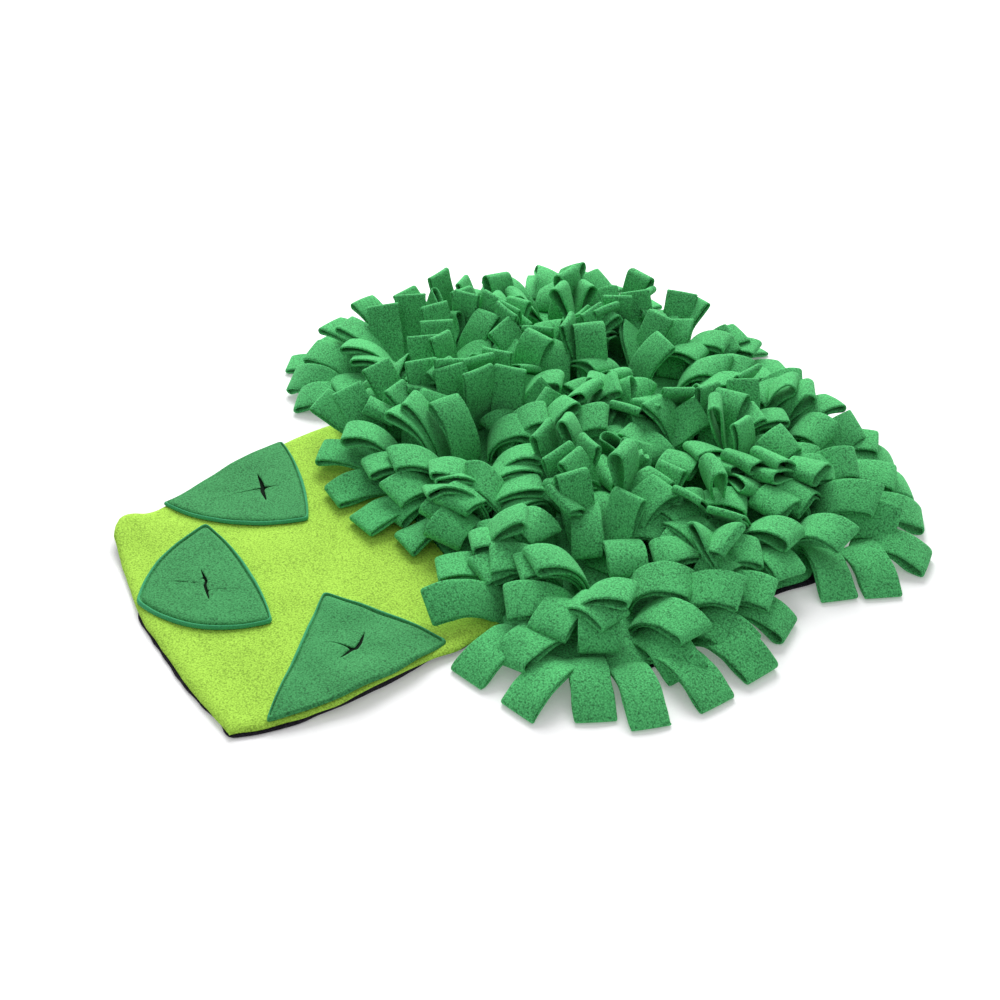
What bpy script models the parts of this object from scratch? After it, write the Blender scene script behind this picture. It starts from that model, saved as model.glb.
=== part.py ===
"""Snuffle mat in the shape of a head of broccoli.

A fleece stalk panel carries three leaf pockets, a fleece crown panel carries six florets of sewn fleece
loops, and one non-slip backing cloth lies under both. Metres, +Z up. The mat lies on the plane z = 0, with
its stalk towards -Y and its crown towards +Y.
"""

import math

import bmesh
import bpy
from mathutils import Matrix, Vector, geometry

# ---------------------------------------------------------------- driving dimensions
BACKING_THICK = 0.0016
FLEECE_THICK = 0.0022
CLOTH_GAP = 0.0003          # between sheets that lie on each other
BACKING_MARGIN = 0.0015     # how far the backing shows past the panels
LIFT_GAP = 0.0006           # between sheets that bend together
LEAF_GAP = 0.0008           # under a leaf, whose short edges cut the corners of the bending panel
SLICE_STEP = 0.034          # spacing of the cuts that let a flat sheet bend
SLICED_LEFT = -0.140        # the cuts lie between these sides of the stalk, in the layout below
SLICED_RIGHT = 0.150
SLICED_TOP = -0.070         # and stop at the crown

PANEL_BASE = BACKING_THICK + LIFT_GAP
PANEL_TOP = PANEL_BASE + FLEECE_THICK
LEAF_BASE = PANEL_TOP + LEAF_GAP
LEAF_THICK = 0.0020

# The outlines below are laid out round a working zero; this is the middle of the mat's box in that layout.
LAYOUT_MIDDLE = Vector((-0.00745, 0.03047))

# Centre of each floret, and the direction in degrees of its first outer loop.
FLORETS = (
    # name, x, y, first loop
    ("floret_1", -0.158, 0.053, -100.0),
    ("floret_2", -0.008, 0.014, -108.0),
    ("floret_3", 0.151, -0.002, -87.0),
    ("floret_4", -0.030, 0.205, 92.0),
    ("floret_5", 0.128, 0.162, 2.0),
    ("floret_6", -0.166, 0.189, 150.0),
)
CROWN_MARGIN = 0.070        # crown panel's edge outside the floret centres
LOBE_STEPS = 18

# The stalk's cut edge, from where it meets the crown on the right, round the end, to the left.
STALK_EDGE = (
    # x, y
    (0.134, -0.0705),
    (0.139, -0.110),
    (0.143, -0.140),
    (0.146, -0.170),
    (0.144, -0.196),
    (0.141, -0.220),
    (0.136, -0.241),
    (0.131, -0.251),
    (0.123, -0.257),
    (0.070, -0.260),
    (-0.007, -0.259),
    (-0.051, -0.251),
    (-0.088, -0.242),
    (-0.098, -0.236),
    (-0.102, -0.224),
    (-0.101, -0.210),
    (-0.106, -0.197),
    (-0.117, -0.164),
    (-0.127, -0.128),
    (-0.133, -0.088),
    (-0.134, -0.0302),
)
SEAM_GAP = 0.0003           # between the stalk panel and the crown panel, edge to edge

# Soft rises of the lying cloth: a seam that springs up at the right, a curled corner, a swell on the left.
LIFTS = (
    # x, y, half length along x, half length along y, height
    (0.155, -0.165, 0.080, 0.085, 0.0050),
    (-0.118, -0.248, 0.070, 0.065, 0.0090),
    (-0.138, -0.125, 0.060, 0.060, 0.0040),
)

# Leaf pockets: three corners, how far each side bows out, and the open cut across the middle.
LEAVES = (
    # name, corners, bows, cut middle, cut angle in degrees, cut length
    ("leaf_1", ((-0.1035, -0.1970), (-0.030, -0.123), (-0.130, -0.091)), (0.011, 0.004, 0.004),
     (-0.089, -0.128), -17.0, 0.036),
    ("leaf_2", ((-0.008, -0.2555), (0.055, -0.193), (-0.066, -0.188)), (0.011, 0.008, 0.005),
     (-0.006, -0.211), -14.0, 0.028),
    ("leaf_3", ((0.130, -0.236), (0.130, -0.112), (0.047, -0.155)), (0.008, 0.003, -0.001),
     (0.099, -0.155), -62.0, 0.024),
)
SIDE_STEPS = 5              # short edges along one side of a leaf
CUT_WIDTH = 0.0024

# Rings of loops in each floret. A free loop leans at lean degrees and its arch turns by bend either side.
RINGS = (
    # name, loops, seam radius, loop length, loop width, lean, bend, bend of a standing loop
    ("outer", 17, 0.0620, 0.060, 0.0210, 0.0, 50.0, 14.0),
    ("middle", 11, 0.0380, 0.047, 0.0185, 36.0, 26.0, 8.0),
    ("inner", 5, 0.0130, 0.043, 0.0150, 78.0, 8.0, 5.0),
)
LOOP_THICK = 0.0045         # two plies of fleece and the air between them
BAND_HALF_WIDTH = 0.0038    # sewn foot of a ring of loops
BAND_THICK = 0.0015
BAND_BASE = PANEL_TOP + CLOTH_GAP
LOOP_FOOT = BAND_BASE + 0.0004
LOOP_STATIONS = 4
NEIGHBOUR_GAP = 0.0030      # between the loops of neighbouring florets
FLOOR_TIP = 0.0010          # underside of a loop's tip over the floor
STALK_TIP = 0.0090          # underside of a loop's tip over the stalk and its leaves
BACKED_BY = math.radians(26.0)   # a loop stands with the outer loops that are this near in direction
STEEPER = math.radians(4.0)      # and this much more upright than they are
MOST_UPRIGHT = math.radians(84.0)
EDGE_CLEARANCE = 0.014      # a loop's tip drops to the floor this far outside the panels

COLOURS = {
    # linear red, green, blue
    "backing": (0.010, 0.008, 0.014),
    "lime_fleece": (0.420, 0.680, 0.030),
    "green_fleece": (0.030, 0.300, 0.085),
}


# ---------------------------------------------------------------- scene and materials
def clear_scene():
    for scene_object in list(bpy.data.objects):
        bpy.data.objects.remove(scene_object, do_unlink=True)


def new_collection(name):
    collection = bpy.data.collections.new(name)
    bpy.context.scene.collection.children.link(collection)
    return collection


def cloth_material(name, colour):
    material = bpy.data.materials.new(name)
    material.use_nodes = True
    shader = material.node_tree.nodes["Principled BSDF"]
    shader.inputs["Base Color"].default_value = (*colour, 1.0)
    shader.inputs["Roughness"].default_value = 0.95
    shader.inputs["Metallic"].default_value = 0.0
    material.diffuse_color = (*colour, 1.0)
    return material


def add_object(name, mesh, collection, material):
    scene_object = bpy.data.objects.new(name, mesh)
    mesh.materials.clear()
    mesh.materials.append(material)
    collection.objects.link(scene_object)
    return scene_object


# ---------------------------------------------------------------- outlines
def in_place(x, y):
    """A layout point as a place in the mat's own frame."""
    return Vector((x, y)) - LAYOUT_MIDDLE


def floret_centres():
    return [in_place(x, y) for _, x, y, _ in FLORETS]


def crown_outline(margin):
    """The crown panel: the tightest outline that keeps margin outside every floret centre."""
    points = []
    for centre in floret_centres():
        for step in range(LOBE_STEPS):
            angle = math.tau * step / LOBE_STEPS
            points.append(centre + margin * Vector((math.cos(angle), math.sin(angle))))
    return [points[index] for index in geometry.convex_hull_2d(points)]


def counter_clockwise(points):
    area = sum(a.x * b.y - b.x * a.y for a, b in zip(points, points[1:] + points[:1]))
    return points if area > 0.0 else points[::-1]


def grown(points, distance):
    """The outline moved outwards by distance, corner by corner."""
    ring = counter_clockwise(points)
    moved = []
    for before, here, after in zip(ring[-1:] + ring[:-1], ring, ring[1:] + ring[:1]):
        first = (here - before).normalized()
        second = (after - here).normalized()
        outward = Vector((first.y + second.y, -first.x - second.x)).normalized()
        reach = distance / max(0.5, outward.dot(Vector((first.y, -first.x))))
        moved.append(here + reach * outward)
    return moved


def stalk_edge():
    return [in_place(x, y) for x, y in STALK_EDGE]


def inside(point, outline):
    """Whether a point lies inside a convex outline that runs counter-clockwise."""
    return all((b - a).cross(point - a) > 0.0 for a, b in zip(outline, outline[1:] + outline[:1]))


def crown_points_past_stalk(crown):
    """The crown's edge from the stalk's right shoulder, over the top, to its left shoulder."""
    edge = stalk_edge()
    right, left = edge[0], edge[-1]
    start = min(range(len(crown)), key=lambda index: (crown[index] - right).length)
    ring = crown[start:] + crown[:start]
    shoulder_height = max(right.y, left.y) + 0.001
    return [p for p in ring if p.x > right.x or p.x < left.x or p.y > shoulder_height]


def whole_outline():
    """The backing's outline: the stalk and the crown in one piece."""
    crown = counter_clockwise(crown_outline(CROWN_MARGIN))
    around = crown_points_past_stalk(crown)
    return grown(around + stalk_edge()[::-1], BACKING_MARGIN)


def stalk_outline():
    """The stalk panel: its cut edge, closed along the crown panel's lower edge."""
    crown = counter_clockwise(crown_outline(CROWN_MARGIN + SEAM_GAP))
    edge = stalk_edge()
    right, left = edge[0], edge[-1]
    seam = [p for p in crown if left.x < p.x < right.x and p.y < 0.0]
    seam.sort(key=lambda p: p.x)
    lowered = Vector((0.0, -2.0 * SEAM_GAP))
    return [right + lowered] + edge[1:-1] + [left + lowered] + seam


def bowed_triangle(corners, bows):
    """Three corners joined by sides that bow outwards as shallow arcs, corners in counter-clockwise order."""
    points = []
    for corner, following, bow in zip(corners, corners[1:] + corners[:1], bows):
        side = following - corner
        outward = Vector((side.y, -side.x)).normalized()
        for step in range(SIDE_STEPS):
            part = step / SIDE_STEPS
            points.append(corner + part * side + 4.0 * bow * part * (1.0 - part) * outward)
    return points


# ---------------------------------------------------------------- meshes
def extruded_outline(outlines, thick):
    """A mesh plate of the given outlines, from z = 0 to z = thick."""
    curve = bpy.data.curves.new("outline", "CURVE")
    curve.dimensions = "2D"
    curve.fill_mode = "BOTH"
    curve.extrude = thick / 2.0
    for outline in outlines:
        spline = curve.splines.new("POLY")
        spline.points.add(len(outline) - 1)
        for point, place in zip(spline.points, outline):
            point.co = (place[0], place[1], 0.0, 1.0)
        spline.use_cyclic_u = True
    carrier = bpy.data.objects.new("outline", curve)
    bpy.context.scene.collection.objects.link(carrier)
    bpy.context.view_layer.update()
    mesh = bpy.data.meshes.new_from_object(carrier.evaluated_get(bpy.context.evaluated_depsgraph_get()))
    bpy.data.objects.remove(carrier, do_unlink=True)
    weld(mesh)
    mesh.transform(Matrix.Translation((0.0, 0.0, thick / 2.0)))
    return mesh


def weld(mesh):
    shape = bmesh.new()
    shape.from_mesh(mesh)
    bmesh.ops.remove_doubles(shape, verts=shape.verts, dist=0.00001)
    bmesh.ops.recalc_face_normals(shape, faces=shape.faces)
    shape.to_mesh(mesh)
    shape.free()


def rise(start, place, half_length):
    """A smooth hump, one at start and nothing past half_length."""
    share = (place - start) / half_length
    return math.cos(share * math.pi / 2.0) ** 2 if abs(share) < 1.0 else 0.0


def lift(x, y):
    """How far the lying cloth rises off the floor at a place in the mat's own frame."""
    total = 0.0
    for centre_x, centre_y, half_x, half_y, height in LIFTS:
        centre = in_place(centre_x, centre_y)
        total += height * rise(centre.x, x, half_x) * rise(centre.y, y, half_y)
    return total


def slice_and_bend(mesh, base):
    """Cuts a plate along a square grid over the stalk, then raises it to base and along the cloth's lifts."""
    shape = bmesh.new()
    shape.from_mesh(mesh)
    low = min(v.co.y for v in shape.verts)
    left = min(v.co.x for v in shape.verts)
    right = max(v.co.x for v in shape.verts)
    stalk_left, top = in_place(SLICED_LEFT, SLICED_TOP)
    stalk_right, _ = in_place(SLICED_RIGHT, SLICED_TOP)
    top = min(top, max(v.co.y for v in shape.verts))
    row = math.ceil(low / SLICE_STEP)
    while row * SLICE_STEP < top:
        cut(shape, (0.0, row * SLICE_STEP, 0.0), (0.0, 1.0, 0.0), top)
        row += 1
    column = math.ceil(max(left, stalk_left) / SLICE_STEP)
    while column * SLICE_STEP < min(right, stalk_right):
        cut(shape, (column * SLICE_STEP, 0.0, 0.0), (1.0, 0.0, 0.0), top)
        column += 1
    for vertex in shape.verts:
        vertex.co.z += base + lift(vertex.co.x, vertex.co.y)
    bmesh.ops.triangulate(shape, faces=shape.faces)
    shape.to_mesh(mesh)
    shape.free()


def cut(shape, place, normal, top):
    """Adds one straight cut to the faces that lie on the stalk."""
    tolerance = 0.0001
    faces = [f for f in shape.faces if min(v.co.y for v in f.verts) < top - tolerance]
    edges = {e for f in faces for e in f.edges}
    verts = {v for f in faces for v in f.verts}
    sliced = [*verts, *edges, *faces]
    bmesh.ops.bisect_plane(shape, geom=sliced, dist=0.000001, plane_co=place, plane_no=normal)


# ---------------------------------------------------------------- sheets
def build_backing(collection, material):
    mesh = extruded_outline([whole_outline()], BACKING_THICK)
    slice_and_bend(mesh, 0.0)
    add_object("backing", mesh, collection, material)


def build_crown_panel(collection, material):
    mesh = extruded_outline([crown_outline(CROWN_MARGIN)], FLEECE_THICK)
    mesh.transform(Matrix.Translation((0.0, 0.0, PANEL_BASE)))
    add_object("crown_panel", mesh, collection, material)


def build_stalk_panel(collection, material):
    mesh = extruded_outline([stalk_outline()], FLEECE_THICK)
    slice_and_bend(mesh, PANEL_BASE)
    add_object("stalk_panel", mesh, collection, material)


def build_leaves(collection, cutters, material):
    for name, corners, bows, middle, angle, length in LEAVES:
        outline = bowed_triangle([in_place(*corner) for corner in corners], bows)
        mesh = extruded_outline([outline], LEAF_THICK)
        slice_and_bend(mesh, LEAF_BASE)
        leaf = add_object(name, mesh, collection, material)
        cutter = leaf_cutter(name, in_place(*middle), math.radians(angle), length, cutters, material)
        carve(leaf, cutter, "DIFFERENCE")


def leaf_cutter(name, middle, angle, length, cutters, material):
    """A slim lozenge through the leaf: the cut that the dog noses open."""
    along = length / 2.0 * Vector((math.cos(angle), math.sin(angle)))
    across = CUT_WIDTH / 2.0 * Vector((-math.sin(angle), math.cos(angle)))
    lozenge = [middle - along, middle - across, middle + along, middle + across]
    mesh = extruded_outline([lozenge], LEAF_BASE + 0.02)
    cutter = add_object(name + "_cut", mesh, cutters, material)
    cutter.hide_render = True
    cutter.display_type = "WIRE"
    return cutter


def carve(target, cutter, operation):
    modifier = target.modifiers.new(operation.title(), "BOOLEAN")
    modifier.operation = operation
    modifier.solver = "EXACT"
    modifier.object = cutter


# ---------------------------------------------------------------- florets
def room(centre, others, direction, half_width):
    """How far a loop may reach from its floret's centre before the loops of its neighbours."""
    across = Vector((-direction.y, direction.x))
    reach = 1.0
    for other in others:
        between = other - centre
        facing = between.normalized()
        share = facing.dot(direction)
        if share > 0.05:
            half_way = between.length / 2.0 - NEIGHBOUR_GAP / 2.0
            reach = min(reach, (half_way - half_width * abs(facing.dot(across))) / share)
    return reach


def over_stalk(place):
    edge = stalk_edge()
    return edge[-1].x - EDGE_CLEARANCE < place.x < edge[0].x + EDGE_CLEARANCE and place.y < 0.0


def tip_height(place):
    """Underside of a free loop's tip: on the floor outside the panels, else above what lies there."""
    if over_stalk(place):
        return STALK_TIP
    wide_crown = counter_clockwise(crown_outline(CROWN_MARGIN + EDGE_CLEARANCE))
    return STALK_TIP if inside(place, wide_crown) else FLOOR_TIP


def arch(seam_radius, length, lean, bend):
    """Middle line of a loop in its own upright plane, and the loop's direction at each station."""
    stations = [(seam_radius, LOOP_FOOT, math.pi / 2.0)]
    run = length / (LOOP_STATIONS - 1)
    radius, height = seam_radius, LOOP_FOOT
    for index in range(LOOP_STATIONS - 1):
        share = (index + 0.5) / (LOOP_STATIONS - 1)
        slope = lean + bend * (1.0 - 2.0 * share)
        radius += run * math.cos(slope)
        height += run * math.sin(slope)
        stations.append((radius, height, lean + bend * (1.0 - 2.0 * (index + 1) / (LOOP_STATIONS - 1))))
    return stations


def side_outline(stations):
    """The loop seen from the side: its middle line thickened to both sides."""
    outer = []
    inner = []
    for radius, height, slope in stations:
        normal_r, normal_z = math.sin(slope), -math.cos(slope)
        outer.append((radius + normal_r * LOOP_THICK / 2.0, height + normal_z * LOOP_THICK / 2.0))
        inner.append((radius - normal_r * LOOP_THICK / 2.0, height - normal_z * LOOP_THICK / 2.0))
    return outer + inner[::-1]


def free_lean(ring, centre, direction):
    """Lean of a loop that nothing crowds: the ring's own, or for the outer ring one that lays its tip down."""
    _, _, seam_radius, length, _, lean, bend, _ = ring
    if lean > 0.0:
        return math.radians(lean)
    turn = math.radians(bend)
    chord = length * math.sin(turn) / turn
    underside = tip_height(centre + (seam_radius + chord) * direction)
    drop = underside + LOOP_THICK / 2.0 * math.cos(turn) - LOOP_FOOT
    return math.asin(drop / chord)


def loop_shape(ring, centre, others, direction):
    """Lean and bend of one loop: it lies out where there is room and stands where there isn't."""
    _, _, seam_radius, length, width, _, bend, standing_bend = ring
    lean = free_lean(ring, centre, direction)
    turn = math.radians(bend)
    chord = length * math.sin(turn) / turn
    wanted = chord * math.cos(lean)
    available = room(centre, others, direction, width / 2.0) - seam_radius - LOOP_THICK / 2.0
    if available >= wanted:
        return lean, turn
    crowding = 1.0 - available / wanted
    turn = math.radians(bend + (standing_bend - bend) * crowding)
    chord = length * math.sin(turn) / turn
    return max(lean, math.acos(available / chord)), turn


def band_edges(centre, seam_radius, first_angle, count):
    """The sewn foot's outer and inner edge: one straight side under each loop."""
    edges = []
    for side_distance in (seam_radius + BAND_HALF_WIDTH, seam_radius - BAND_HALF_WIDTH):
        corner_distance = side_distance / math.cos(math.pi / count)
        angles = [math.radians(first_angle) + math.tau * (index + 0.5) / count for index in range(count)]
        edges.append([centre + corner_distance * Vector((math.cos(a), math.sin(a))) for a in angles])
    return edges


def build_ring(floret_name, centre, others, first_angle, ring, outer_loops, collection, cutters, material):
    """One ring of loops on its sewn foot. Returns each loop's direction and lean for the next ring in."""
    ring_name, count, seam_radius, length, width, _, _, _ = ring
    name = floret_name + "_" + ring_name
    loops_made = []
    teeth = bmesh.new()
    for index in range(count):
        angle = math.radians(first_angle) + math.tau * index / count
        direction = Vector((math.cos(angle), math.sin(angle)))
        lean, bend = loop_shape(ring, centre, others, direction)
        for outer_angle, outer_lean in outer_loops:
            near = abs(math.remainder(angle - outer_angle, math.tau)) < BACKED_BY
            if near and outer_lean + STEEPER > lean:
                lean = min(outer_lean + STEEPER, MOST_UPRIGHT)
                bend = min(bend, math.pi / 2.0 - lean)
        loops_made.append((angle, lean))
        mesh = extruded_outline([side_outline(arch(seam_radius, length, lean, bend))], width)
        mesh.transform(Matrix.Translation((0.0, 0.0, -width / 2.0)))
        upright = Matrix.Rotation(math.pi / 2.0, 4, "X")
        turned = Matrix.Rotation(angle, 4, "Z")
        mesh.transform(Matrix.Translation((centre.x, centre.y, 0.0)) @ turned @ upright)
        teeth.from_mesh(mesh)
        bpy.data.meshes.remove(mesh)
    loops_mesh = bpy.data.meshes.new(name + "_loops")
    teeth.to_mesh(loops_mesh)
    teeth.free()
    loops = add_object(name + "_loops", loops_mesh, cutters, material)
    loops.hide_render = True
    loops.display_type = "WIRE"
    band = extruded_outline(band_edges(centre, seam_radius, first_angle, count), BAND_THICK)
    band.transform(Matrix.Translation((0.0, 0.0, BAND_BASE)))
    comb = add_object(name, band, collection, material)
    carve(comb, loops, "UNION")
    return loops_made


def build_florets(collection, cutters, material):
    centres = floret_centres()
    for (name, _, _, first_angle), centre in zip(FLORETS, centres):
        others = [other for other in centres if other is not centre]
        loops = []
        for ring in RINGS:
            loops = build_ring(name, centre, others, first_angle, ring, loops, collection, cutters, material)


def main():
    clear_scene()
    collection = new_collection("broccoli_snuffle_mat")
    cutters = new_collection("cutters")
    materials = {name: cloth_material(name, colour) for name, colour in COLOURS.items()}
    build_backing(collection, materials["backing"])
    build_stalk_panel(collection, materials["lime_fleece"])
    build_crown_panel(collection, materials["green_fleece"])
    build_leaves(collection, cutters, materials["green_fleece"])
    build_florets(collection, cutters, materials["green_fleece"])
    cutters.hide_render = True


main()
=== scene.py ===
import math
import random

import bmesh
import bpy
import numpy as np
from bpy.props import FloatProperty, FloatVectorProperty, IntProperty, PointerProperty
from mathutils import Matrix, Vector, geometry, noise
from mathutils.kdtree import KDTree


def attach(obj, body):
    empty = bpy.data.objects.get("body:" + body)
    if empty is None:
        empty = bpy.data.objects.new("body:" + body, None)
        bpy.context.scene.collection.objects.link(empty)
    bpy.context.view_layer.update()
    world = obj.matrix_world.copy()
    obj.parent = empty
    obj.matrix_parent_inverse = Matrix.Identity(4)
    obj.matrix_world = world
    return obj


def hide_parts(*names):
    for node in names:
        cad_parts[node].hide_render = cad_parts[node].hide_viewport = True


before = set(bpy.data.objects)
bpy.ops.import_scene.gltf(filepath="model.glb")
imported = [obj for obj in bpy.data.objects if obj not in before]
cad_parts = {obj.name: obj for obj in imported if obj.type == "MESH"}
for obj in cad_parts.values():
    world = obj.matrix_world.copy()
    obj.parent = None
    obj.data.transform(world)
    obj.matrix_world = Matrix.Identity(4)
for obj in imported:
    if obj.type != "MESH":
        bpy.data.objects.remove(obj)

bl_info = {
    "name": "Broccoli Snuffle Mat",
    "version": (1, 0, 0),
    "blender": (4, 5, 0),
    "location": "3D View > Sidebar > Snuffle Mat",
    "description": "Dresses the packed mat in fleece: stalk, leaf pockets, florets of loops, backing",
    "category": "Object",
}

# ---------------------------------------------------------------- the mat's layout, in metres
FLORETS = (
    # name, centre x, centre y, direction in degrees of the first outer loop
    ("floret_1", -0.15055, 0.02253, -100.0),
    ("floret_2", -0.00055, -0.01647, -108.0),
    ("floret_3", 0.15845, -0.03247, -87.0),
    ("floret_4", -0.02255, 0.17453, 92.0),
    ("floret_5", 0.13545, 0.13153, 2.0),
    ("floret_6", -0.15855, 0.15853, 150.0),
)
CENTRES = np.array([(x, y) for _, x, y, _ in FLORETS])

# Rings of loops, from the outside in. Slopes are in degrees over the level, at the foot and at the fold.
RINGS = (
    # name, loops, foot radius, slope at foot, slope at fold, fold width
    ("a", 17, 0.0630, 26.0, -30.0, 0.0030),
    ("b", 13, 0.0500, 50.0, -28.0, 0.0045),
    ("c", 10, 0.0360, 66.0, -12.0, 0.0055),
    ("d", 6, 0.0200, 82.0, 20.0, 0.0065),
    ("e", 2, 0.0060, 88.0, 55.0, 0.0065),
)

CROWN_MARGIN = 0.070
STALK_EDGE = (
    # right shoulder, down the right side, along the cut end, up the left side
    (0.1415, -0.1010), (0.1500, -0.1405), (0.1480, -0.1560), (0.1496, -0.1700), (0.1505, -0.1924),
    (0.1515, -0.2250), (0.1463, -0.2477), (0.1395, -0.2720), (0.1335, -0.2870),
    (0.0882, -0.2900), (0.0072, -0.2895), (-0.0435, -0.2805), (-0.0805, -0.2725), (-0.0900, -0.2675),
    (-0.0974, -0.2610), (-0.0997, -0.2560), (-0.0995, -0.2491), (-0.0965, -0.2420), (-0.0970, -0.2346),
    (-0.1008, -0.2270), (-0.1092, -0.1945), (-0.1174, -0.1585), (-0.1245, -0.1250), (-0.1285, -0.1130),
    (-0.1315, -0.0932), (-0.1320, -0.0607),
)
RIGHT_CORNER, LEFT_CORNER = 8, 13      # places in the list above
PANEL_TOP = 0.0044                     # top of the panels' fleece over the floor

# How far the backing stands out past its outline, in mm, and how much of the way to the floor it hangs.
BACKING_SHOWS = (
    # x, y, stands out, hangs
    (-0.1320, -0.0607, -1.5, 0.0), (-0.1285, -0.0900, -1.5, 0.0), (-0.1285, -0.1130, -1.5, 0.0),
    (-0.1210, -0.1400, -1.5, 0.0), (-0.1150, -0.1700, -1.5, 0.0), (-0.1080, -0.2000, -1.5, 0.0),
    (-0.1000, -0.2290, -1.5, 0.0), (-0.1000, -0.2560, -1.5, 0.0), (-0.0900, -0.2680, -1.5, 0.0),
    (-0.0700, -0.2750, -1.5, 0.0), (-0.0500, -0.2790, -1.5, 0.0), (-0.0300, -0.2830, -1.5, 0.0),
    (-0.0100, -0.2860, -1.5, 0.0), (0.0060, -0.2890, 0.6, 1.0), (0.0250, -0.2895, 0.8, 1.0),
    (0.0450, -0.2900, 1.2, 1.0), (0.0750, -0.2905, 1.6, 1.0), (0.1000, -0.2900, 0.5, 1.0),
    (0.1180, -0.2890, -1.5, 0.3), (0.1300, -0.2880, 0.4, 1.0), (0.1370, -0.2840, 1.8, 1.0),
    (0.1400, -0.2700, 2.2, 1.0), (0.1463, -0.2490, 1.6, 1.0), (0.1500, -0.2350, -3.5, 1.0),
    (0.1512, -0.2230, -5.5, 1.0), (0.1515, -0.2100, -4.5, 1.0), (0.1505, -0.1950, -4.0, 1.0),
    (0.1500, -0.1800, -4.5, 1.0), (0.1500, -0.1720, -5.5, 1.0), (0.1490, -0.1630, -5.0, 0.6),
    (0.1480, -0.1500, -2.0, 0.0), (0.1480, -0.1300, -1.5, 0.0),
    (0.2156, 0.0644, 4.5, 0.0), (0.2147, 0.0700, 7.7, 0.0), (0.2139, 0.0759, 10.9, 0.0),
    (0.2133, 0.0810, 14.3, 0.0), (0.2126, 0.0860, 17.9, 0.0), (0.2118, 0.0920, 19.0, 0.0),
    (0.2108, 0.0990, 14.0, 0.0), (0.2099, 0.1060, 8.0, 0.0), (0.2088, 0.1130, 3.0, 0.0),
)
SHOWS_REACH = 0.008                    # how far along the edge a row above counts
BACKING_STANDS = 0.0015                # how far the backing stands out away from all rows
CROWN_FOLLOWS = 0.7                    # share of it by which the crown's fleece goes out too

# Where the lying cloth rises off the floor.
LIFTS = (
    # x, y, half length along x, half length along y, height
    (0.1625, -0.1955, 0.080, 0.085, 0.0050),
    (-0.1105, -0.2785, 0.070, 0.065, 0.0090),
    (-0.1305, -0.1555, 0.060, 0.060, 0.0040),
)

LEAVES = (
    # name, corners, bows of the sides, which side lies flush with the stalk's edge (-1: none)
    ("leaf_1", ((-0.1008, -0.2288), (-0.0242, -0.1514), (-0.1264, -0.1205)), (0.014, 0.006, 0.0015), 2),
    ("leaf_2", ((-0.0075, -0.2862), (0.0615, -0.2223), (-0.0601, -0.2131)), (0.0155, 0.0073, 0.0099), -1),
    ("leaf_3", ((0.1388, -0.2664), (0.1415, -0.1418), (0.0542, -0.1821)), (0.0100, 0.0044, 0.0008), 0),
)
CUTS = {
    # the open arm from end to end, its gape at the middle, tips of the closed arm, unevenness of the leaf
    "leaf_1": (((-0.0930, -0.1569), (-0.0840, -0.1586), (-0.0766, -0.1606), (-0.0744, -0.1624),
                (-0.0618, -0.1656)), 0.0013, ((-0.0825, -0.1840), (-0.0735, -0.1490)), 0.0004),
    "leaf_2": (((-0.0127, -0.2380), (0.0005, -0.2401), (0.0032, -0.2425), (0.0185, -0.2465)),
               0.0008, ((-0.0020, -0.2475), (0.0065, -0.2385)), 0.0006),
    "leaf_3": (((0.1050, -0.1808), (0.1125, -0.1880), (0.1155, -0.1925), (0.1150, -0.1960),
                (0.1178, -0.2046)), 0.0009, ((0.1035, -0.2000),), 0.0020),
}

# Inset from a sheet's edge and height: the sheet's rounded edge and its flat part. On a leaf these are
# the turned rim, its seam and the flat part, over the stalk's fleece.
BACKING_RINGS = ((0.0, 0.0010), (0.0005, 0.0020), (0.004, 0.0017), (0.009, 0.0013))
CROWN_RINGS = ((0.0, 0.0026), (0.0005, 0.0036), (0.002, 0.0044), (0.006, 0.0044))
LEAF_RINGS = ((0.0, 0.0004), (0.0003, 0.0023), (0.0014, 0.0034), (0.0025, 0.0030), (0.0030, 0.0013),
              (0.0036, 0.0014), (0.0044, 0.0028), (0.0090, 0.0031))
LEAF_RIM_RINGS, LEAF_SEAM_RINGS = 3, 6     # how many of them make the rim, and the rim with its seam

# The stalk's fleece along its seam: dip and its width, then the puff beside it, its distance and width.
SEAM_DIP, SEAM_WIDTH = 0.0021, 0.0016
PUFF, PUFF_INSET, PUFF_WIDTH = 0.0006, 0.008, 0.006

CAMERA_PLACE, CAMERA_LENS = (0.65245, -0.46047, 0.535), 46.1
SOFTBOX_PLACE, SOFTBOX_SIZE = (-1.70, 1.20, 1.50), 1.7


# ---------------------------------------------------------------- sizes and colours a user may change
class ClothSettings(bpy.types.PropertyGroup):
    fleece_thick: FloatProperty(name="Fleece", description="Thickness of the fleece", default=0.0018,
                                min=0.001, max=0.004, subtype="DISTANCE", unit="LENGTH")
    pebble: FloatProperty(name="Pebble", description="Spacing of the fleece's curled nap", default=0.0011,
                          min=0.0005, max=0.005, subtype="DISTANCE", unit="LENGTH")
    green: FloatVectorProperty(name="Green fleece", description="Colour of the loops and leaves",
                               default=(0.066, 0.386, 0.122), size=3, min=0.0, max=1.0, subtype="COLOR")
    lime: FloatVectorProperty(name="Lime fleece", description="Colour of the stalk",
                              default=(0.332, 0.588, 0.063), size=3, min=0.0, max=1.0, subtype="COLOR")
    black: FloatVectorProperty(name="Backing", description="Colour of the backing cloth",
                               default=(0.010, 0.008, 0.014), size=3, min=0.0, max=1.0, subtype="COLOR")


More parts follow.
